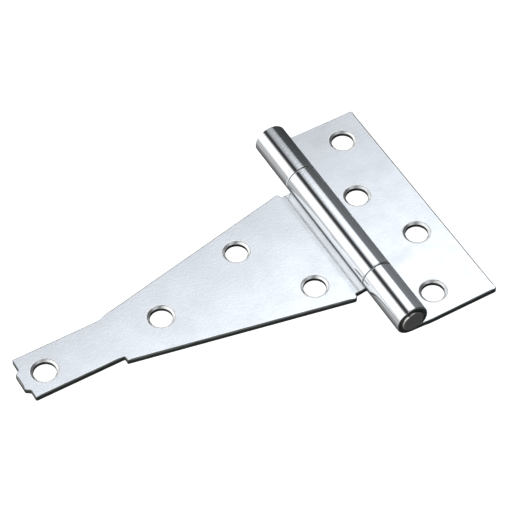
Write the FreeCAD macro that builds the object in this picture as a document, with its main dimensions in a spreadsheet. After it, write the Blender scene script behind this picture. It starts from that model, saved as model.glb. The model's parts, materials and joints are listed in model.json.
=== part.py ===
import FreeCAD, Part
import math
import os

import Sketcher

# A T hinge in millimetres.  +X runs from the strap's tip towards the butt leaf, +Y along the
# pin towards its plain end, +Z out of the front of the leaves.  The origin lies on the plane
# of the leaves' backs, level with the middle of the pin and halfway along the whole hinge.
# The sketches are drawn from the pin's axis, and every body is moved along +X to that origin.

DIMENSIONS = [
    # name, value or formula, what it is
    ("sheet_t", 1.7, "thickness of both leaves"),
    ("barrel_r", 4.95, "outer radius of the rolled knuckles"),
    ("ramp_angle", 3.75, "slope of the leaf where it climbs to the knuckle, degrees"),
    ("ramp_x", 6.6, "distance of the bend from the pin's axis, on the back"),
    ("seam_angle", 42.5, "how far past horizontal the rolled end stops, degrees"),
    ("pin_r", 3.175, "radius of the pin"),
    ("head_r", 3.4, "radius of the pin's head"),
    ("head_l", 0.75, "length of the pin's head"),
    ("head_round", 0.3, "width of the round edge of the pin's head"),
    ("pin_chamfer", 0.35, "chamfer at the pin's plain end"),
    ("knuckle_y", 20.8, "middle of the gap between two knuckles"),
    ("knuckle_gap", 0.25, "gap between two knuckles"),
    ("knuckle_round", 0.4, "rolled-over edge at a knuckle's end"),
    ("clear_x", 7.05, "where a leaf's flat plate meets its roll"),
    ("notch_x", 6.5, "edge of the butt leaf beside the middle knuckle"),
    ("corner_r", 0.35, "radius inside the notch corners"),
    ("butt_x", 28.1, "outer edge of the butt leaf"),
    ("butt_y", 39.2, "half height of the butt leaf"),
    ("butt_corner_r", 0.7, "radius of the butt leaf's outer corners"),
    ("wide_y", 22.4, "half width of the strap at its wide end"),
    ("wide_corner_r", 0.9, "radius of the strap's wide corners"),
    ("taper_x", 72.9, "where the taper ends"),
    ("taper_y", 8.6, "half width of the strap where the taper ends"),
    ("blend_x", 70.0, "where the upper edge leaves the taper"),
    ("blend_y", 9.2, "half width of the strap at that point"),
    ("nose_x", 100.2, "shoulders of the strap's tip"),
    ("nose_top_y", 8.1, "upper edge of the narrow part"),
    ("nose_low_y", 6.9, "lower edge of the narrow part"),
    ("nose_corner_r", 0.5, "radius of the tip's shoulders"),
    ("tab_x", 101.6, "end of the strap"),
    ("tab_root_y", 3.9, "half width of the end tab at its root"),
    ("tab_end_y", 2.9, "half width of the end tab at its end"),
    ("hole_r", 3.25, "radius of the screw holes"),
    ("sink_r", 3.95, "radius of the countersinks"),
    ("sink_angle", 100.0, "included angle of the countersinks"),
    ("row_x", 12.15, "inner column of holes in the butt leaf"),
    ("row_step_x", 7.5, "from the inner column of holes to the outer one"),
    ("row_step_y", 20.4, "from one hole of the butt leaf to the next"),
    ("row_mid_y", -0.3, "middle of the butt leaf's four holes"),
    ("tip_hole_x", 94.0, "hole nearest the strap's tip"),
    ("mid_hole_x", 57.7, "hole in the middle of the strap"),
    ("line_hole_y", 0.2, "height of those two holes"),
    ("high_hole_x", 28.2, "upper hole near the wide end"),
    ("high_hole_y", 9.6, "its height"),
    ("low_hole_x", 15.45, "lower hole near the wide end"),
    ("low_hole_y", 12.5, "its distance below the middle"),
    # derived values
    ("origin_x", "=(tab_x - butt_x) / 2", "from the origin to the pin's axis"),
    ("bore_r", "=barrel_r - sheet_t", "inner radius of the knuckles"),
    ("axis_z", "=(barrel_r + ramp_x * sin(ramp_angle)) / cos(ramp_angle)", "height of the pin's axis"),
    ("ramp_top_x", "=ramp_x + sheet_t * tan(ramp_angle / 2)", "the bend on the front"),
    ("foot_x", "=barrel_r * sin(ramp_angle)", "where the back meets the roll"),
    ("foot_z", "=axis_z - barrel_r * cos(ramp_angle)", "height of that point"),
    ("bed_x", "=bore_r * sin(ramp_angle)", "where the front meets the bore"),
    ("bed_z", "=axis_z - bore_r * cos(ramp_angle)", "height of that point"),
    ("seam_out_x", "=barrel_r * cos(seam_angle)", "outer corner of the rolled end"),
    ("seam_in_x", "=bore_r * cos(seam_angle)", "inner corner of the rolled end"),
    ("middle_y", "=knuckle_y - knuckle_gap / 2", "half length of the middle knuckle"),
    ("notch_y", "=knuckle_y + knuckle_gap / 2", "half length of the butt leaf's notch"),
    ("notch_reach", "=barrel_r + 2", "how far the notch reaches past the pin's axis"),
    ("past_r", "=barrel_r + knuckle_gap / 2", "a cutter reaches past the knuckle's side"),
    ("round_r", "=barrel_r - knuckle_round", "where the end's round edge starts on the face"),
    ("butt_round_y", "=butt_y - knuckle_round", "where it starts on the side, outer end"),
    ("butt_past_y", "=butt_y + knuckle_gap / 2", "a cutter reaches past that end"),
    ("notch_round_y", "=notch_y + knuckle_round", "the same beside the notch"),
    ("notch_past_y", "=notch_y - knuckle_gap / 2", "a cutter reaches past that end"),
    ("middle_round_y", "=middle_y - knuckle_round", "the same on the middle knuckle"),
    ("middle_past_y", "=middle_y + knuckle_gap / 2", "a cutter reaches past that end"),
    ("far_row_x", "=row_x + row_step_x", "outer column of holes"),
    ("row_1_y", "=row_mid_y + 1.5 * row_step_y", "first hole of the butt leaf"),
    ("row_2_y", "=row_mid_y + 0.5 * row_step_y", "second hole"),
    ("row_3_y", "=row_mid_y - 0.5 * row_step_y", "third hole"),
    ("row_4_y", "=row_mid_y - 1.5 * row_step_y", "fourth hole"),
    ("head_end", "=butt_y + head_l", "end of the pin's head"),
    ("head_edge", "=head_end - head_round", "where the round edge of the head starts"),
    ("head_face_r", "=head_r - head_round", "flat face of the head"),
    ("pin_edge", "=butt_y - pin_chamfer", "where the plain end's chamfer starts"),
    ("pin_face_r", "=pin_r - pin_chamfer", "flat face of the plain end"),
]

document = FreeCAD.newDocument("t_hinge")


def make_sheet():
    sheet = document.addObject("Spreadsheet::Sheet", "dims")
    for row, (name, value, meaning) in enumerate(DIMENSIONS, start=1):
        sheet.set(f"A{row}", name)
        sheet.set(f"B{row}", str(value))
        sheet.set(f"C{row}", meaning)
        sheet.setAlias(f"B{row}", name)
    document.recompute()
    return sheet


sheet = make_sheet()


def size(name):
    """The value of a sheet name, which may carry a minus sign."""
    sign = -1.0 if name.startswith("-") else 1.0
    return sign * float(getattr(sheet, name.lstrip("-")))


def bound(name):
    """The same value as an expression."""
    return name.replace("-", "-dims.") if name.startswith("-") else f"dims.{name}"


def new_body(label):
    body = document.addObject("PartDesign::Body", label)
    body.Label = label
    body.setExpression("Placement.Base.x", "dims.origin_x")
    return body


def new_sketch(body, name, plane):
    sketch = body.newObject("Sketcher::SketchObject", name)
    origin_plane = next(item for item in body.Origin.OriginFeatures if item.Role == plane)
    sketch.AttachmentSupport = [(origin_plane, "")]
    sketch.MapMode = "FlatFace"
    return sketch


def hold(sketch, kind, geometry, point, name):
    """Fix one coordinate of a point to a sheet value."""
    index = sketch.addConstraint(Sketcher.Constraint(kind, -1, 1, geometry, point, size(name)))
    sketch.setExpression(f"Constraints[{index}]", bound(name))


def hold_point(sketch, geometry, point, x_name, y_name):
    for kind, name in (("DistanceX", x_name), ("DistanceY", y_name)):
        if name == "":
            axis_line = -2 if kind == "DistanceX" else -1
            sketch.addConstraint(Sketcher.Constraint("PointOnObject", geometry, point, axis_line))
        else:
            hold(sketch, kind, geometry, point, name)


def vector(x_name, y_name):
    return FreeCAD.Vector(size(x_name) if x_name else 0.0, size(y_name) if y_name else 0.0, 0.0)


def join(sketch, first, first_point, second, second_point):
    sketch.addConstraint(Sketcher.Constraint("Coincident", first, first_point, second, second_point))


def outline(sketch, corners):
    """A closed outline of straight lines; an empty name is zero."""
    count = len(corners)
    lines = []
    for index, corner in enumerate(corners):
        following = corners[(index + 1) % count]
        lines.append(sketch.addGeometry(Part.LineSegment(vector(*corner), vector(*following))))
    for index in range(count):
        join(sketch, lines[index], 2, lines[(index + 1) % count], 1)
    for line, corner in zip(lines, corners):
        hold_point(sketch, line, 1, *corner)


def circles(sketch, centres, radius_name):
    for x_name, y_name in centres:
        centre = vector(x_name, y_name)
        index = sketch.addGeometry(Part.Circle(centre, FreeCAD.Vector(0, 0, 1), size(radius_name)))
        hold_point(sketch, index, 3, x_name, y_name)
        radius = sketch.addConstraint(Sketcher.Constraint("Radius", index, size(radius_name)))
        sketch.setExpression(f"Constraints[{radius}]", bound(radius_name))


def pad(body, sketch, name, length_expression, centred):
    feature = body.newObject("PartDesign::Pad", name)
    feature.Profile = sketch
    feature.SideType = "Symmetric" if centred else "One side"
    feature.setExpression("Length", length_expression)
    return feature


def roll_profile(sketch, side):
    """The leaf's neck and rolled knuckle, seen along the pin.

    side is "-" for the leaf that lies towards -X, and "" for the one towards +X.
    """
    other = "" if side else "-"
    neck = [
        (side + "ramp_top_x", "sheet_t"),
        (side + "clear_x", "sheet_t"),
        (side + "clear_x", ""),
        (side + "ramp_x", ""),
    ]
    bed = (other + "bed_x", "bed_z")
    foot = (other + "foot_x", "foot_z")
    path = [bed] + neck + [foot]
    lines = []
    for start, end in zip(path, path[1:]):
        lines.append(sketch.addGeometry(Part.LineSegment(vector(*start), vector(*end))))
    for first, second in zip(lines, lines[1:]):
        join(sketch, first, 2, second, 1)
    for line, corner in zip(lines, path):
        hold_point(sketch, line, 1, *corner)
    hold_point(sketch, lines[-1], 2, *foot)

    start_angle = math.radians(-90.0 + size("ramp_angle"))
    end_angle = math.radians(180.0 + size("seam_angle"))
    if side == "":
        start_angle, end_angle = math.pi - end_angle, math.pi - start_angle
    centre = FreeCAD.Vector(0, size("axis_z"), 0)
    start_point, end_point = (1, 2) if side else (2, 1)
    arcs = []
    for radius_name, line, line_point in (("barrel_r", lines[-1], 2), ("bore_r", lines[0], 1)):
        circle = Part.Circle(centre, FreeCAD.Vector(0, 0, 1), size(radius_name))
        arc = sketch.addGeometry(Part.ArcOfCircle(circle, start_angle, end_angle))
        hold_point(sketch, arc, 3, "", "axis_z")
        join(sketch, arc, start_point, line, line_point)
        arcs.append(arc)
    seam_z = size("axis_z") - size("barrel_r") * math.sin(math.radians(size("seam_angle")))
    seam_in_z = size("axis_z") - size("bore_r") * math.sin(math.radians(size("seam_angle")))
    seam = sketch.addGeometry(Part.LineSegment(
        FreeCAD.Vector(size(side + "seam_out_x"), seam_z, 0),
        FreeCAD.Vector(size(side + "seam_in_x"), seam_in_z, 0)))
    join(sketch, seam, 1, arcs[0], end_point)
    join(sketch, seam, 2, arcs[1], end_point)
    hold(sketch, "DistanceX", seam, 1, side + "seam_out_x")
    hold(sketch, "DistanceX", seam, 2, side + "seam_in_x")


def screw_holes(body, name, centres):
    """Countersunk holes, drilled from the front of a leaf."""
    sketch = new_sketch(body, name + "_sketch", "XY_Plane")
    sketch.setExpression("AttachmentOffset.Base.z", "dims.sheet_t")
    circles(sketch, centres, "hole_r")
    document.recompute()
    hole = body.newObject("PartDesign::Hole", name)
    hole.Profile = sketch
    document.recompute()
    hole.DepthType = "ThroughAll"
    hole.HoleCutType = "Countersink"
    hole.HoleCutCustomValues = True
    hole.setExpression("Diameter", "2 * dims.hole_r")
    hole.setExpression("HoleCutDiameter", "2 * dims.sink_r")
    hole.setExpression("HoleCutCountersinkAngle", "dims.sink_angle")
    document.recompute()


def round_edges(body, name, radius_name, chosen):
    """Round the edges of the body's last feature that the test picks."""
    document.recompute()
    base = body.Tip
    names = [f"Edge{number}" for number, edge in enumerate(base.Shape.Edges, start=1) if chosen(edge)]
    fillet = body.newObject("PartDesign::Fillet", name)
    fillet.Base = (base, names)
    fillet.setExpression("Radius", bound(radius_name))
    document.recompute()


def upright_at(places):
    """A test for edges along Z that stand at one of the places."""
    def chosen(edge):
        ends = [vertex.Point for vertex in edge.Vertexes]
        if len(ends) != 2 or (ends[0] - ends[1]).cross(FreeCAD.Vector(0, 0, 1)).Length > 1e-6:
            return False
        return any(math.hypot(ends[0].x - x, ends[0].y - y) < 1e-4 for x, y in places)
    return chosen


def round_knuckle_ends(body, label, ends):
    """Turn a round edge onto both knuckle ends that each name stands for."""
    sketch = new_sketch(body, label + "_end_profile", "YZ_Plane")
    sketch.setExpression("AttachmentOffset.Base.y", "dims.axis_z")
    for end in ends:
        for side in ("", "-"):
            inner = side + end + "_round_y"
            outer = side + end + "_past_y"
            corners = [(inner, "barrel_r"), (inner, "past_r"), (outer, "past_r"), (outer, "round_r"),
                       (side + end + "_y", "round_r")]
            lines = []
            for start, stop in zip(corners, corners[1:]):
                lines.append(sketch.addGeometry(Part.LineSegment(vector(*start), vector(*stop))))
            for first, second in zip(lines, lines[1:]):
                join(sketch, first, 2, second, 1)
            for line, corner in zip(lines, corners):
                hold_point(sketch, line, 1, *corner)
            hold_point(sketch, lines[-1], 2, *corners[-1])
            circle = Part.Circle(vector(inner, "round_r"), FreeCAD.Vector(0, 0, 1), size("knuckle_round"))
            towards_plus = size(outer) > size(inner)
            first_angle, last_angle = (0.0, math.pi / 2) if towards_plus else (math.pi / 2, math.pi)
            arc = sketch.addGeometry(Part.ArcOfCircle(circle, first_angle, last_angle))
            end_point, start_point = (1, 2) if towards_plus else (2, 1)
            join(sketch, arc, end_point, lines[-1], 2)
            join(sketch, arc, start_point, lines[0], 1)
            hold(sketch, "DistanceX", arc, 3, inner)
    groove = body.newObject("PartDesign::Groove", label + "_end_rounds")
    groove.Profile = sketch
    groove.ReferenceAxis = (sketch, ["H_Axis"])
    groove.Angle = 360.0
    document.recompute()


def make_butt_leaf():
    body = new_body("butt_leaf")
    plate = new_sketch(body, "butt_outline", "XY_Plane")
    outline(plate, [("clear_x", "-butt_y"), ("butt_x", "-butt_y"),
                    ("butt_x", "butt_y"), ("clear_x", "butt_y")])
    pad(body, plate, "butt_plate", "dims.sheet_t", False)
    roll = new_sketch(body, "butt_roll_profile", "XZ_Plane")
    roll_profile(roll, "")
    pad(body, roll, "butt_roll", "2 * dims.butt_y", True)
    notch = new_sketch(body, "butt_notch_outline", "XY_Plane")
    outline(notch, [("-notch_reach", "-notch_y"), ("notch_x", "-notch_y"),
                    ("notch_x", "notch_y"), ("-notch_reach", "notch_y")])
    pocket = body.newObject("PartDesign::Pocket", "butt_notch")
    pocket.Profile = notch
    pocket.Type = "ThroughAll"
    pocket.SideType = "Symmetric"
    screw_holes(body, "butt_holes", [("far_row_x", "row_1_y"), ("row_x", "row_2_y"),
                                     ("far_row_x", "row_3_y"), ("row_x", "row_4_y")])
    far_corners = [(size("butt_x"), sign * size("butt_y")) for sign in (-1, 1)]
    round_edges(body, "butt_corners", "butt_corner_r", upright_at(far_corners))
    round_knuckle_ends(body, "butt", ["butt", "notch"])
    return body


def make_strap_leaf():
    body = new_body("strap_leaf")
    plate = new_sketch(body, "strap_outline", "XY_Plane")
    outline(plate, [
        ("-clear_x", "-wide_y"), ("-clear_x", "wide_y"), ("-blend_x", "blend_y"),
        ("-taper_x", "nose_top_y"), ("-nose_x", "nose_top_y"), ("-nose_x", "tab_root_y"),
        ("-tab_x", "tab_end_y"), ("-tab_x", "-tab_end_y"), ("-nose_x", "-tab_root_y"),
        ("-nose_x", "-nose_low_y"), ("-taper_x", "-nose_low_y"), ("-taper_x", "-taper_y")])
    pad(body, plate, "strap_plate", "dims.sheet_t", False)
    roll = new_sketch(body, "strap_roll_profile", "XZ_Plane")
    roll_profile(roll, "-")
    pad(body, roll, "strap_roll", "2 * dims.middle_y", True)
    round_knuckle_ends(body, "strap", ["middle"])
    screw_holes(body, "strap_holes", [("-tip_hole_x", "line_hole_y"), ("-mid_hole_x", "line_hole_y"),
                                      ("-high_hole_x", "high_hole_y"), ("-low_hole_x", "-low_hole_y")])
    wide_corners = [(-size("clear_x"), sign * size("wide_y")) for sign in (-1, 1)]
    round_edges(body, "strap_wide_corners", "wide_corner_r", upright_at(wide_corners))
    notch_corners = [(-size("clear_x"), sign * size("middle_y")) for sign in (-1, 1)]
    round_edges(body, "strap_notch_corners", "corner_r", upright_at(notch_corners))
    nose_corners = [(-size("nose_x"), size("nose_top_y")), (-size("nose_x"), -size("nose_low_y"))]
    nose_corners += [(-size(x), sign * size(y)) for sign in (-1, 1)
                     for x, y in (("nose_x", "tab_root_y"), ("tab_x", "tab_end_y"))]
    round_edges(body, "strap_nose_corners", "nose_corner_r", upright_at(nose_corners))
    return body


def make_hinge_pin():
    body = new_body("hinge_pin")
    profile = new_sketch(body, "pin_profile", "YZ_Plane")
    profile.setExpression("AttachmentOffset.Base.y", "dims.axis_z")
    outline(profile, [
        ("-head_end", ""), ("butt_y", ""), ("butt_y", "pin_face_r"), ("pin_edge", "pin_r"),
        ("-butt_y", "pin_r"), ("-butt_y", "head_r"), ("-head_edge", "head_r"), ("-head_end", "head_face_r")])
    turned = body.newObject("PartDesign::Revolution", "pin_turned")
    turned.Profile = profile
    turned.ReferenceAxis = (profile, ["H_Axis"])
    turned.Angle = 360.0
    return body


def export(bodies):
    document.recompute()
    for item in document.Objects:
        if "Invalid" in item.State or "Error" in item.State:
            raise RuntimeError(f"{item.Name} did not compute: {item.State}")
    os.makedirs("parts", exist_ok=True)
    for body in bodies:
        shape = body.Shape
        if shape.isNull() or not shape.isValid():
            raise RuntimeError(f"{body.Label} has no valid shape")
        box = shape.BoundBox
        print(f"{body.Label}: {shape.Volume:.1f} mm3, {len(shape.Solids)} solid, "
              f"x {box.XMin:.2f}..{box.XMax:.2f}, y {box.YMin:.2f}..{box.YMax:.2f}, "
              f"z {box.ZMin:.2f}..{box.ZMax:.2f}")
        shape.exportStep(f"parts/{body.Label}.step")


export([make_butt_leaf(), make_strap_leaf(), make_hinge_pin()])
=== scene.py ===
import json
import math

import bmesh
import bpy
import numpy as np
from mathutils import Matrix, Vector
from mathutils.geometry import tessellate_polygon


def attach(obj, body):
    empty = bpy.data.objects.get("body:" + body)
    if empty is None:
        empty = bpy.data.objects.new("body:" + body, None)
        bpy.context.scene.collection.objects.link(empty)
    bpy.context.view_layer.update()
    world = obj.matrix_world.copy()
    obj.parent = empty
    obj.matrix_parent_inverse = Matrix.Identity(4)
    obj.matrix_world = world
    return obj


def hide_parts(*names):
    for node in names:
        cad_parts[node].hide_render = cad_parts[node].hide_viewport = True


# A plated T hinge.  Lengths in the mesh code are millimetres measured from the pin's axis: q runs
# away from the pin along a leaf, y along the pin, and t up through the sheet from its back.

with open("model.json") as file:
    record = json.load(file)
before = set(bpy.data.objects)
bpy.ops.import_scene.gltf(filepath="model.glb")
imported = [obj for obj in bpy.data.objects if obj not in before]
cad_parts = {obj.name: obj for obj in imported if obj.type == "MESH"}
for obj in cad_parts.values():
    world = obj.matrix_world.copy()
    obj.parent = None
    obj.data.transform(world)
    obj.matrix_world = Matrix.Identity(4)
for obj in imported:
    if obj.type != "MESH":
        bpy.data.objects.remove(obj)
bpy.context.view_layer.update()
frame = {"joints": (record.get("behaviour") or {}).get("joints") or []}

MM = 0.001
JOINT = frame["joints"][0]
PIN_X = JOINT["pos_m"][0] / MM
PIN_Z = JOINT["pos_m"][2] / MM

SHEET = 1.7
BARREL_R = 4.95
RAMP = math.radians(3.75)
RAMP_Q = 6.6
ROLL_TURN = math.radians(308.75)
RAMP_RUN = (RAMP_Q + BARREL_R * math.sin(RAMP)) / math.cos(RAMP)
ROLL_END_Q = RAMP_Q - RAMP_RUN - BARREL_R * ROLL_TURN
CLEAR_Q = 7.05
NOTCH_Q = 6.5
NOTCH_Y = 20.925
MIDDLE_Y = 20.675
BUTT_Q = 28.1
BUTT_Y = 39.2
HOLE_R = 3.25
SINK_R = 3.95
SINK_DEPTH = 0.587

# Rounding of the sheet's edges.  Where the outline turns in short steps the rounding stays small,
# so that the inset outline never crosses itself.
FREE_ROUND = 0.5
TIGHT_ROUND = 0.26
SHORT_EDGE = 1.2
SHOULDER = 1.4
BACK_ROUND = 0.14
KNUCKLE_ROUND = 0.38

# The camera's place in metres, and its turn in degrees.
CAMERA_PLACE = (-0.19124, -0.36948, 0.52880)
CAMERA_AZIMUTH = -28.532
CAMERA_ELEVATION = 51.010
CAMERA_ROLL = -1.815
CAMERA_LENS = 168.0


# ---------------------------------------------------------------- sheet metal

def bend_table():
    """The back of a leaf, walked from the plate onto the roll: run, place, height and slope."""
    step = 0.01
    run = np.arange(-2.0, RAMP_RUN + BARREL_R * ROLL_TURN + step, step)
    kink = np.clip((run + 0.6) / 1.2, 0, 1)
    slope = RAMP * kink * kink * (3 - 2 * kink) + np.clip(run - RAMP_RUN, 0, None) / BARREL_R
    middle = (slope[1:] + slope[:-1]) / 2
    place = RAMP_Q + 2.0 - np.concatenate([[0.0], np.cumsum(np.cos(middle)) * step])
    height = np.concatenate([[0.0], np.cumsum(np.sin(middle)) * step])
    return run, place, height, slope


BEND = bend_table()


def bend(q, t):
    """Place and height of a point of the flat blank once the leaf is rolled, and its slope."""
    run, place, height, slope = BEND
    s = RAMP_Q - q
    on_plate = s < run[0]
    base_q = np.where(on_plate, q, np.interp(s, run, place))
    base_z = np.where(on_plate, 0.0, np.interp(s, run, height))
    a = np.where(on_plate, 0.0, np.interp(s, run, slope))
    return base_q + t * np.sin(a), base_z + t * np.cos(a), a


def rounded(corners, steps=6):
    """A closed outline from (q, y, radius) corners, with an arc at each corner that has a radius."""
    points = []
    count = len(corners)
    for i, (q, y, radius) in enumerate(corners):
        here = np.array([q, y])
        if radius == 0:
            points.append(here)
            continue
        before = np.array(corners[i - 1][:2]) - here
        after = np.array(corners[(i + 1) % count][:2]) - here
        before, after = before / np.linalg.norm(before), after / np.linalg.norm(after)
        half = math.acos(np.clip(before @ after, -1, 1)) / 2
        reach = radius / math.tan(half)
        middle = (before + after) / np.linalg.norm(before + after) * radius / math.sin(half)
        first, last = before * reach - middle, after * reach - middle
        turn = math.acos(np.clip(first @ last / radius ** 2, -1, 1))
        for k in range(steps + 1):
            w = k / steps
            spoke = (math.sin((1 - w) * turn) * first + math.sin(w * turn) * last) / math.sin(turn)
            points.append(here + middle + spoke)
    return points


def with_shoulders(points, gap):
    """The outline with a point added a gap away from both ends of each long edge."""
    result = []
    for i, here in enumerate(points):
        result.append(here)
        ahead = points[(i + 1) % len(points)] - here
        length = np.linalg.norm(ahead)
        if length > 3 * gap:
            result.extend([here + ahead * gap / length, here + ahead * (1 - gap / length)])
    return result


def with_stations(points, stations):
    """The outline with a point added wherever an edge along q passes a station."""
    result = []
    count = len(points)
    for i, here in enumerate(points):
        result.append(here)
        there = points[(i + 1) % count]
        if abs(there[1] - here[1]) > 1e-9:
            continue
        low, high = sorted((here[0], there[0]))
        inside = [s for s in stations if low + 0.05 < s < high - 0.05]
        for s in sorted(inside, reverse=bool(there[0] < here[0])):
            result.append(np.array([s, here[1]]))
    return np.array(result)


def hole_profile():
    """Radius and height down a countersunk hole from the flat front to the flat back, and normals."""
    corners = [(4.3, SHEET), (SINK_R, SHEET), (HOLE_R, SHEET - SINK_DEPTH), (HOLE_R, 0.0),
               (HOLE_R + 0.3, 0.0)]
    reaches = [0, 0.22, 0.12, 0.12, 0]
    points = [np.array(corners[0])]
    for i in range(1, len(corners) - 1):
        here = np.array(corners[i])
        before, after = np.array(corners[i - 1]) - here, np.array(corners[i + 1]) - here
        reach = min(reaches[i], np.linalg.norm(before) * 0.48, np.linalg.norm(after) * 0.48)
        start = here + before / np.linalg.norm(before) * reach
        end = here + after / np.linalg.norm(after) * reach
        for k in range(7):
            w = k / 6
            points.append((1 - w) ** 2 * start + 2 * w * (1 - w) * here + w * w * end)
    points.append(np.array(corners[-1]))
    points = np.array(points)
    along = np.gradient(points, axis=0)
    normal = np.stack([along[:, 1], -along[:, 0]], 1)
    normal /= np.linalg.norm(normal, axis=1)[:, None]
    normal[0], normal[-1] = (0, 1), (0, -1)
    return points, normal


class Blank:
    """Vertices, normals and faces of a leaf, collected flat."""

    def __init__(self):
        self.co, self.normal, self.faces, self.kind = [], [], [], []

    def add(self, co, normal):
        first = sum(len(part) for part in self.co)
        self.co.append(np.asarray(co, float))
        self.normal.append(np.asarray(normal, float))
        return list(range(first, first + len(co)))

    def face(self, corners, kind):
        self.faces.append([int(c) for c in corners])
        self.kind.append(kind)

    def ribbon(self, upper, lower, kind):
        """Quads between two closed rings."""
        for i in range(len(upper)):
            k = (i + 1) % len(upper)
            self.face((upper[i], lower[i], lower[k], upper[k]), kind)


def edge_layer(layer, front_round, back_round):
    """Inward offset, height and tilt of one of the 12 layers over a sheet's rounded edge."""
    if layer < 6:
        tilt = np.radians(90 - 18 * layer)
        return front_round * (1 - np.cos(tilt)), SHEET - front_round * (1 - np.sin(tilt)), tilt
    tilt = np.radians(-18 * (layer - 6))
    return back_round * (1 - np.cos(tilt)), back_round * (1 + np.sin(tilt)), tilt


def cut_blank(corners, holes):
    """The flat blank: a closed sheet with rounded edges and countersunk holes."""
    outline = with_stations(with_shoulders(rounded(corners), SHOULDER), [4.0, 4.4, 4.8, 5.2, 5.6])
    ahead = np.roll(outline, -1, 0) - outline
    ahead /= np.linalg.norm(ahead, axis=1)[:, None]
    outward = np.stack([ahead[:, 1], -ahead[:, 0]], 1)
    normal = outward + np.roll(outward, 1, 0)
    normal /= np.linalg.norm(normal, axis=1)[:, None]
    miter = 1 / np.clip((normal * outward).sum(1), 0.3, 1)
    back_round = BACK_ROUND + (KNUCKLE_ROUND - BACK_ROUND) * np.clip((5.6 - outline[:, 0]) / 1.6, 0, 1)
    to_last = np.linalg.norm(outline - np.roll(outline, 1, 0), axis=1)
    to_next = np.linalg.norm(np.roll(outline, -1, 0) - outline, axis=1)
    front_round = np.where(np.minimum(to_last, to_next) < SHORT_EDGE, TIGHT_ROUND, FREE_ROUND)

    blank = Blank()
    rings = []
    for layer in range(12):
        inset, height, tilt = edge_layer(layer, front_round, back_round)
        flat = outline - normal * (inset * miter)[:, None]
        rings.append(blank.add(np.column_stack([flat, height]),
                               np.column_stack([normal * np.cos(tilt), np.full(len(outline), np.sin(tilt))])))
    for layer in range(11):
        blank.ribbon(rings[layer], rings[layer + 1], 1 if 1 <= layer <= 5 else 0)

    profile, profile_normal = hole_profile()
    spokes = 72
    turn = np.arange(spokes) * 2 * math.pi / spokes
    hole_rings = []
    for q, y in holes:
        own = []
        for (radius, height), (nr, nz) in zip(profile, profile_normal):
            co = np.column_stack([q + radius * np.cos(turn), y + radius * np.sin(turn),
                                  np.full(spokes, height)])
            no = np.column_stack([nr * np.cos(turn), nr * np.sin(turn), np.full(spokes, nz)])
            own.append(blank.add(co, no))
        for k in range(len(own) - 1):
            # Faces down the hole's wall take material 2, whose near-black colour is partly painted shade
            # inside the hole.
            on_wall = profile[k, 0] < HOLE_R + 0.05 and profile[k + 1, 0] < HOLE_R + 0.05
            for i in range(spokes):
                j = (i + 1) % spokes
                blank.face((own[k][i], own[k][j], own[k + 1][j], own[k + 1][i]), 2 if on_wall else 3)
        hole_rings.append(own)

    place = np.concatenate(blank.co)
    for ring, hole_layer, up in ((rings[0], 0, True), (rings[-1], -1, False)):
        loops = [ring] + [own[hole_layer] for own in hole_rings]
        listed = [i for loop in loops for i in loop]
        shapes = [[Vector((place[i, 0], place[i, 1], 0)) for i in loop] for loop in loops]
        for triangle in tessellate_polygon(shapes):
            a, b, c = (listed[k] for k in triangle)
            u, v = place[b] - place[a], place[c] - place[a]
            faces_up = u[0] * v[1] - u[1] * v[0] > 0
            blank.face((a, b, c) if faces_up == up else (a, c, b), 0)
    return blank


def add_edge_mask(mesh, slant):
    """Marks rounded edges: 1 where the surface leans 45 degrees, 0 where it is flat or upright."""
    mask = mesh.attributes.new("edge", "FLOAT", "POINT")
    mask.data.foreach_set("value", np.clip(4 * slant ** 2, 0, 1).astype(np.float32))


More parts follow.
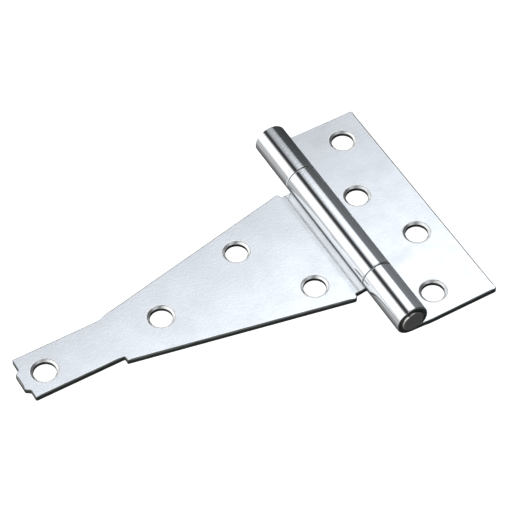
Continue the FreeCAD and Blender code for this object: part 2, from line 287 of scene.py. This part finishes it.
def build_leaf(name, side, corners, holes, body, node):
    """A leaf on one side of the pin, cut flat, sliced across and then rolled."""
    blank = cut_blank(corners, holes)
    bm = bmesh.new()
    flat_normal = bm.verts.layers.float_vector.new("flat_normal")
    verts = []
    for co, normal in zip(np.concatenate(blank.co), np.concatenate(blank.normal)):
        vert = bm.verts.new(co)
        vert[flat_normal] = Vector(normal)
        verts.append(vert)
    for listed, kind in zip(blank.faces, blank.kind):
        face = bm.faces.new([verts[i] for i in listed])
        face.material_index = kind
    roll_q = RAMP_Q - RAMP_RUN
    slices = list(np.arange(ROLL_END_Q + 0.75, roll_q, BARREL_R * math.radians(2.5))) + [roll_q]
    slices += list(np.arange(0.7, 5.9, 0.8)) + list(np.arange(6.0, 7.25, 0.15))
    ahead = [face for face in bm.faces if min(v.co.x for v in face.verts) < slices[-1]]
    for q in slices:
        edges = {edge for face in ahead for edge in face.edges}
        points = {vert for face in ahead for vert in face.verts}
        cut = bmesh.ops.bisect_plane(bm, geom=list(points) + list(edges) + ahead, dist=1e-6,
                                     plane_co=(q, 0, 0), plane_no=(1, 0, 0))
        ahead = [item for item in cut["geom"] if isinstance(item, bmesh.types.BMFace)
                 and max(v.co.x for v in item.verts) > q + 1e-6]
    bm.verts.ensure_lookup_table()
    co = np.array([v.co for v in bm.verts])
    normal = np.array([v[flat_normal].normalized() for v in bm.verts])
    x, z, slope = bend(co[:, 0], co[:, 2])
    normal_x = side * (normal[:, 0] * np.cos(slope) + normal[:, 2] * np.sin(slope))
    normal_z = normal[:, 2] * np.cos(slope) - normal[:, 0] * np.sin(slope)
    for vert, place, y, height in zip(bm.verts, x, co[:, 1], z):
        vert.co = ((side * place + PIN_X) * MM, y * MM, height * MM)
    if side < 0:
        bmesh.ops.reverse_faces(bm, faces=bm.faces[:])
    for face in bm.faces:
        face.smooth = True
    bm.verts.layers.float_vector.remove(flat_normal)
    mesh = bpy.data.meshes.new(name)
    bm.to_mesh(mesh)
    bm.free()
    mesh.normals_split_custom_set_from_vertices(list(zip(normal_x, normal[:, 1], normal_z)))
    add_edge_mask(mesh, np.hypot(normal[:, 0], normal[:, 1]) * normal[:, 2])
    rolled = mesh.attributes.new("rolled", "FLOAT", "POINT")
    rolled.data.foreach_set("value", np.clip((4.2 - co[:, 0]) / 3.0, 0, 1).astype(np.float32))
    piece = bpy.data.objects.new(name, mesh)
    bpy.context.scene.collection.objects.link(piece)
    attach(piece, body)
    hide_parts(node)
    return piece


butt = build_leaf(
    "butt_leaf_sheet", 1,
    [(ROLL_END_Q, -BUTT_Y, 0), (BUTT_Q, -BUTT_Y, 0.7), (BUTT_Q, BUTT_Y, 0.7), (ROLL_END_Q, BUTT_Y, 0),
     (ROLL_END_Q, NOTCH_Y, 0), (NOTCH_Q, NOTCH_Y, 0.35),
     (NOTCH_Q, -NOTCH_Y, 0.35), (ROLL_END_Q, -NOTCH_Y, 0)],
    [(19.65, 30.3), (12.15, 9.9), (19.65, -10.5), (12.15, -30.9)],
    "butt", "butt_leaf")
strap = build_leaf(
    "strap_leaf_sheet", -1,
    [(ROLL_END_Q, -MIDDLE_Y, 0), (CLEAR_Q, -MIDDLE_Y, 0.35), (CLEAR_Q, -22.4, 0.9), (72.9, -8.6, 0.3),
     (72.9, -6.9, 0.3), (100.2, -6.9, 0.5), (100.2, -3.9, 0.5), (101.6, -2.9, 0.5), (101.6, 2.9, 0.5),
     (100.2, 3.9, 0.5), (100.2, 8.1, 0.5), (72.9, 8.1, 2.0), (70.0, 9.2, 1.0), (CLEAR_Q, 22.4, 0.9),
     (CLEAR_Q, MIDDLE_Y, 0.35), (ROLL_END_Q, MIDDLE_Y, 0)],
    [(94.0, 0.2), (57.7, 0.2), (28.2, 9.6), (15.45, -12.5)],
    "strap", "strap_leaf")


# ---------------------------------------------------------------- pin

def lathe(name, profile, body, node, spokes=96):
    """A solid turned about the pin's axis from (y, radius) points; the two ends are closed."""
    profile = np.array(profile, float)
    turn = np.arange(spokes) * 2 * math.pi / spokes
    verts, faces = [], []
    for y, radius in profile:
        for a in turn:
            verts.append(((PIN_X + radius * math.sin(a)) * MM, y * MM, (PIN_Z + radius * math.cos(a)) * MM))
    for k in range(len(profile) - 1):
        for i in range(spokes):
            j = (i + 1) % spokes
            faces.append((k * spokes + i, (k + 1) * spokes + i, (k + 1) * spokes + j, k * spokes + j))
    faces.append(tuple(range(spokes)))
    last = (len(profile) - 1) * spokes
    faces.append(tuple(range(last + spokes - 1, last - 1, -1)))
    mesh = bpy.data.meshes.new(name)
    mesh.from_pydata(verts, [], faces)
    for polygon in mesh.polygons:
        polygon.use_smooth = True
    along = np.gradient(profile, axis=0)
    along /= np.linalg.norm(along, axis=1)[:, None]
    add_edge_mask(mesh, np.repeat(along[:, 0] * along[:, 1], spokes))
    piece = bpy.data.objects.new(name, mesh)
    bpy.context.scene.collection.objects.link(piece)
    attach(piece, body)
    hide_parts(node)
    return piece


HEAD_END = -39.95
pin_profile = [(HEAD_END, 0.02), (HEAD_END + 0.01, 0.8), (HEAD_END + 0.05, 1.6), (HEAD_END + 0.11, 2.3),
               (HEAD_END + 0.17, 2.75), (HEAD_END + 0.25, 3.05),
               (HEAD_END + 0.36, 3.25), (HEAD_END + 0.5, 3.37),
               (HEAD_END + 0.62, 3.4), (HEAD_END + 0.7, 3.4), (HEAD_END + 0.75, 3.35),
               (HEAD_END + 0.75, 3.2), (HEAD_END + 0.8, 3.175), (38.8, 3.175), (39.0, 3.1), (39.15, 2.9),
               (39.2, 2.7), (39.2, 0.02)]
pin = lathe("hinge_pin_turned", pin_profile, "butt", "hinge_pin")


# ---------------------------------------------------------------- materials

def new_material(name):
    material = bpy.data.materials.new(name)
    material.use_nodes = True
    tree = material.node_tree
    tree.nodes.clear()
    output = tree.nodes.new("ShaderNodeOutputMaterial")
    shader = tree.nodes.new("ShaderNodeBsdfPrincipled")
    tree.links.new(shader.outputs[0], output.inputs[0])
    return material, tree, shader


def noise(tree, scale, detail, low, high):
    """Clouds in the piece's own space, read as a value that runs from low to high."""
    place = tree.nodes.new("ShaderNodeTexCoord")
    cloud = tree.nodes.new("ShaderNodeTexNoise")
    cloud.inputs["Scale"].default_value = scale
    cloud.inputs["Detail"].default_value = detail
    tree.links.new(place.outputs["Object"], cloud.inputs["Vector"])
    value = tree.nodes.new("ShaderNodeMapRange")
    value.inputs["From Min"].default_value = 0.3
    value.inputs["From Max"].default_value = 0.7
    value.inputs["To Min"].default_value = low
    value.inputs["To Max"].default_value = high
    tree.links.new(cloud.outputs["Fac"], value.inputs["Value"])
    return value.outputs[0]


def product(tree, first, second):
    """Two values of a material or world, multiplied."""
    node = tree.nodes.new("ShaderNodeMath")
    node.operation = "MULTIPLY"
    tree.links.new(first, node.inputs[0])
    tree.links.new(second, node.inputs[1])
    return node.outputs[0]


def zinc(name, colour, worn, flat_rough, roll_rough, grain, burnish=1.0):
    """Plated steel: cloudy, rubbed at its edges, burnished where it is rolled, with a fine grain."""
    material, tree, shader = new_material(name)
    shader.inputs["Metallic"].default_value = 1.0

    clouds = noise(tree, 75.0, 4.0, 0.9, 1.0)
    specks = noise(tree, 900.0, 2.0, 0.985, 1.0)
    tone = product(tree, clouds, specks)
    plain = tree.nodes.new("ShaderNodeMix")
    plain.data_type = "RGBA"
    plain.inputs[6].default_value = (*(0.8 * c for c in colour), 1)
    plain.inputs[7].default_value = (*colour, 1)
    spread = tree.nodes.new("ShaderNodeMapRange")
    spread.inputs["From Min"].default_value = 0.8
    tree.links.new(tone, spread.inputs["Value"])
    tree.links.new(spread.outputs[0], plain.inputs["Factor"])

    edge = tree.nodes.new("ShaderNodeAttribute")
    edge.attribute_name = "edge"
    rubbed = product(tree, edge.outputs["Fac"], noise(tree, 420.0, 2.0, 0.1, 0.7))
    wear = tree.nodes.new("ShaderNodeMix")
    wear.data_type = "RGBA"
    wear.inputs[7].default_value = (*worn, 1)
    tree.links.new(rubbed, wear.inputs["Factor"])
    tree.links.new(plain.outputs[2], wear.inputs[6])

    rolled = tree.nodes.new("ShaderNodeAttribute")
    rolled.attribute_name = "rolled"
    lift = tree.nodes.new("ShaderNodeMapRange")
    lift.inputs["To Min"].default_value = 1.0
    lift.inputs["To Max"].default_value = burnish
    tree.links.new(rolled.outputs["Fac"], lift.inputs["Value"])
    finish = tree.nodes.new("ShaderNodeVectorMath")
    finish.operation = "SCALE"
    tree.links.new(wear.outputs[2], finish.inputs[0])
    tree.links.new(lift.outputs[0], finish.inputs["Scale"])
    tree.links.new(finish.outputs[0], shader.inputs["Base Color"])
    rough = tree.nodes.new("ShaderNodeMapRange")
    tree.links.new(rolled.outputs["Fac"], rough.inputs["Value"])
    rough.inputs["To Min"].default_value = flat_rough
    rough.inputs["To Max"].default_value = roll_rough
    gloss = product(tree, rough.outputs[0], noise(tree, 260.0, 3.0, 0.8, 1.2))
    tree.links.new(gloss, shader.inputs["Roughness"])

    bump = tree.nodes.new("ShaderNodeBump")
    bump.inputs["Strength"].default_value = grain
    bump.inputs["Distance"].default_value = 0.00002
    tree.links.new(noise(tree, 1500.0, 2.0, 0.0, 1.0), bump.inputs["Height"])
    tree.links.new(bump.outputs[0], shader.inputs["Normal"])
    return material


plate = zinc("zinc_plate", (0.79, 0.815, 0.84), (0.88, 0.88, 0.88), 0.2, 0.07, 0.12, 1.13)
cut = zinc("zinc_cut_edge", (0.17, 0.19, 0.18), (0.4, 0.4, 0.39), 0.4, 0.35, 0.3)
# The hole wall's colour is cut steel's own darker tone, darkened much further as painted shade inside the
# holes.
painted_shade_wall = zinc("zinc_hole_wall_with_painted_shade", (0.10, 0.105, 0.105), (0.4, 0.4, 0.4), 0.4, 0.35, 0.2)
sink = zinc("zinc_countersink", (0.93, 0.935, 0.94), (0.95, 0.95, 0.95), 0.32, 0.32, 0.12)
steel = zinc("zinc_pin", (0.66, 0.645, 0.61), (0.9, 0.9, 0.89), 0.16, 0.16, 0.2)
for piece in (butt, strap):
    for material in (plate, cut, painted_shade_wall, sink):
        piece.data.materials.append(material)
pin.data.materials.append(steel)


# ---------------------------------------------------------------- studio

def studio():
    """Soft boxes, written as bands round the pin's direction, with the floor's grey below them."""
    world = bpy.data.worlds.new("studio")
    world.use_nodes = True
    tree = world.node_tree
    nodes, links = tree.nodes, tree.links
    nodes.clear()
    coordinates = nodes.new("ShaderNodeTexCoord")
    split = nodes.new("ShaderNodeSeparateXYZ")
    links.new(coordinates.outputs["Generated"], split.inputs[0])
    angle = nodes.new("ShaderNodeMath")
    angle.operation = "ARCTAN2"
    links.new(split.outputs["X"], angle.inputs[0])
    links.new(split.outputs["Z"], angle.inputs[1])
    spread = nodes.new("ShaderNodeMapRange")
    spread.inputs["From Min"].default_value = -math.pi
    spread.inputs["From Max"].default_value = math.pi
    links.new(angle.outputs[0], spread.inputs["Value"])
    bands = nodes.new("ShaderNodeValToRGB")
    bands.color_ramp.interpolation = "EASE"
    links.new(spread.outputs[0], bands.inputs[0])
    stops = [(-180, 0.13), (-160, 0.16), (-140, 0.26), (-120, 0.52), (-97, 0.56), (-89, 0.95), (-82, 1.25),
             (-44, 1.25), (-26, 0.05), (-15, 0.05), (2, 0.85), (14, 1.17), (24, 1.06),
             (32, 1.0), (46, 0.15), (90, 0.13),
             (179, 0.13)]
    ramp = bands.color_ramp
    ramp.elements.remove(ramp.elements[1])
    ramp.elements[0].color = (*[stops[0][1]] * 3, 1)
    for degrees, level in stops[1:]:
        element = ramp.elements.new((degrees + 180) / 360)
        element.color = (level, level, level, 1)
    fade = nodes.new("ShaderNodeValToRGB")
    fade.color_ramp.interpolation = "LINEAR"
    links.new(split.outputs["Y"], fade.inputs[0])
    fall = fade.color_ramp
    fall.elements.remove(fall.elements[1])
    fall.elements[0].position = 0.18
    fall.elements[0].color = (0.6, 0.62, 0.64, 1)
    for place, level in ((0.36, 1.3), (0.45, 2.1), (0.56, 1.0), (0.576, 0.46), (0.61, 0.36), (0.65, 0.13)):
        element = fall.elements.new(place)
        element.color = (level * 0.97, level, level * 1.04, 1)
    side = nodes.new("ShaderNodeMapRange")
    side.interpolation_type = "SMOOTHSTEP"
    side.inputs["From Min"].default_value = math.radians(-20)
    side.inputs["From Max"].default_value = math.radians(5)
    links.new(angle.outputs[0], side.inputs["Value"])
    shade = nodes.new("ShaderNodeMix")
    shade.data_type = "RGBA"
    shade.blend_type = "MULTIPLY"
    links.new(side.outputs[0], shade.inputs["Factor"])
    links.new(bands.outputs[0], shade.inputs[6])
    links.new(fade.outputs[0], shade.inputs[7])
    behind = nodes.new("ShaderNodeMapRange")
    behind.interpolation_type = "SMOOTHSTEP"
    behind.inputs["From Min"].default_value = 0.76
    behind.inputs["From Max"].default_value = 0.86
    links.new(split.outputs["Y"], behind.inputs["Value"])
    lit = nodes.new("ShaderNodeMix")
    lit.data_type = "RGBA"
    lit.inputs[7].default_value = (1.1, 1.1, 1.1, 1)
    links.new(behind.outputs[0], lit.inputs["Factor"])
    links.new(shade.outputs[2], lit.inputs[6])
    below = nodes.new("ShaderNodeMapRange")
    below.interpolation_type = "SMOOTHSTEP"
    below.inputs["From Min"].default_value = -0.1
    below.inputs["From Max"].default_value = -0.3
    links.new(split.outputs["Z"], below.inputs["Value"])
    far = nodes.new("ShaderNodeMapRange")
    far.interpolation_type = "SMOOTHSTEP"
    far.inputs["From Min"].default_value = 0.61
    far.inputs["From Max"].default_value = 0.67
    links.new(split.outputs["Y"], far.inputs["Value"])
    bench = nodes.new("ShaderNodeMix")
    bench.data_type = "RGBA"
    bench.inputs[7].default_value = (1.1, 1.1, 1.1, 1)
    links.new(product(tree, below.outputs[0], far.outputs[0]), bench.inputs["Factor"])
    links.new(lit.outputs[2], bench.inputs[6])
    background = nodes.new("ShaderNodeBackground")
    links.new(bench.outputs[2], background.inputs[0])
    output = nodes.new("ShaderNodeOutputWorld")
    links.new(background.outputs[0], output.inputs[0])
    bpy.context.scene.world = world


studio()


def studio_sheet(name, verts, faces, colour, glow):
    mesh = bpy.data.meshes.new(name)
    mesh.from_pydata(verts, [], faces)
    sheet = bpy.data.objects.new(name, mesh)
    bpy.context.scene.collection.objects.link(sheet)
    material, _, shader = new_material(name + "_paint")
    shader.inputs["Base Color"].default_value = (*colour, 1)
    shader.inputs["Roughness"].default_value = 1.0
    shader.inputs["Specular IOR Level"].default_value = 0.0
    shader.inputs["Emission Color"].default_value = (1, 1, 1, 1)
    shader.inputs["Emission Strength"].default_value = glow
    mesh.materials.append(material)
    sheet.visible_glossy = False
    return sheet


floor = studio_sheet("studio_floor", [(-3, -3, -0.0002), (3, -3, -0.0002), (3, 3, -0.0002), (-3, 3, -0.0002)],
                     [(0, 1, 2, 3)], (0.8, 0.8, 0.8), 0.9)
backdrop = studio_sheet(
    "studio_backdrop",
    [(x, y, z) for z in (-0.2, 4) for x, y in ((-4, -4), (4, -4), (4, 4), (-4, 4))],
    [(0, 1, 5, 4), (1, 2, 6, 5), (2, 3, 7, 6), (3, 0, 4, 7), (4, 5, 6, 7)], (0.0, 0.0, 0.0), 1.0)
backdrop.visible_diffuse = False
backdrop.visible_transmission = False
backdrop.visible_shadow = False

camera_data = bpy.data.cameras.new("camera")
camera = bpy.data.objects.new("camera", camera_data)
bpy.context.scene.collection.objects.link(camera)
camera_data.lens = CAMERA_LENS
camera_data.sensor_width = 36.0
camera_data.clip_start, camera_data.clip_end = 0.01, 50
azimuth, elevation, roll = (math.radians(v) for v in (CAMERA_AZIMUTH, CAMERA_ELEVATION, CAMERA_ROLL))
back = Vector((math.sin(azimuth) * math.cos(elevation), -math.cos(azimuth) * math.cos(elevation),
               math.sin(elevation)))
level = (-back).cross(Vector((0, 0, 1))).normalized()
upright = level.cross(-back)
right = math.cos(roll) * level + math.sin(roll) * upright
up = -math.sin(roll) * level + math.cos(roll) * upright
camera.matrix_world = Matrix((
    (right.x, up.x, back.x, CAMERA_PLACE[0]),
    (right.y, up.y, back.y, CAMERA_PLACE[1]),
    (right.z, up.z, back.z, CAMERA_PLACE[2]),
    (0, 0, 0, 1)))
bpy.context.scene.camera = camera

bpy.context.scene.view_settings.view_transform = "Standard"
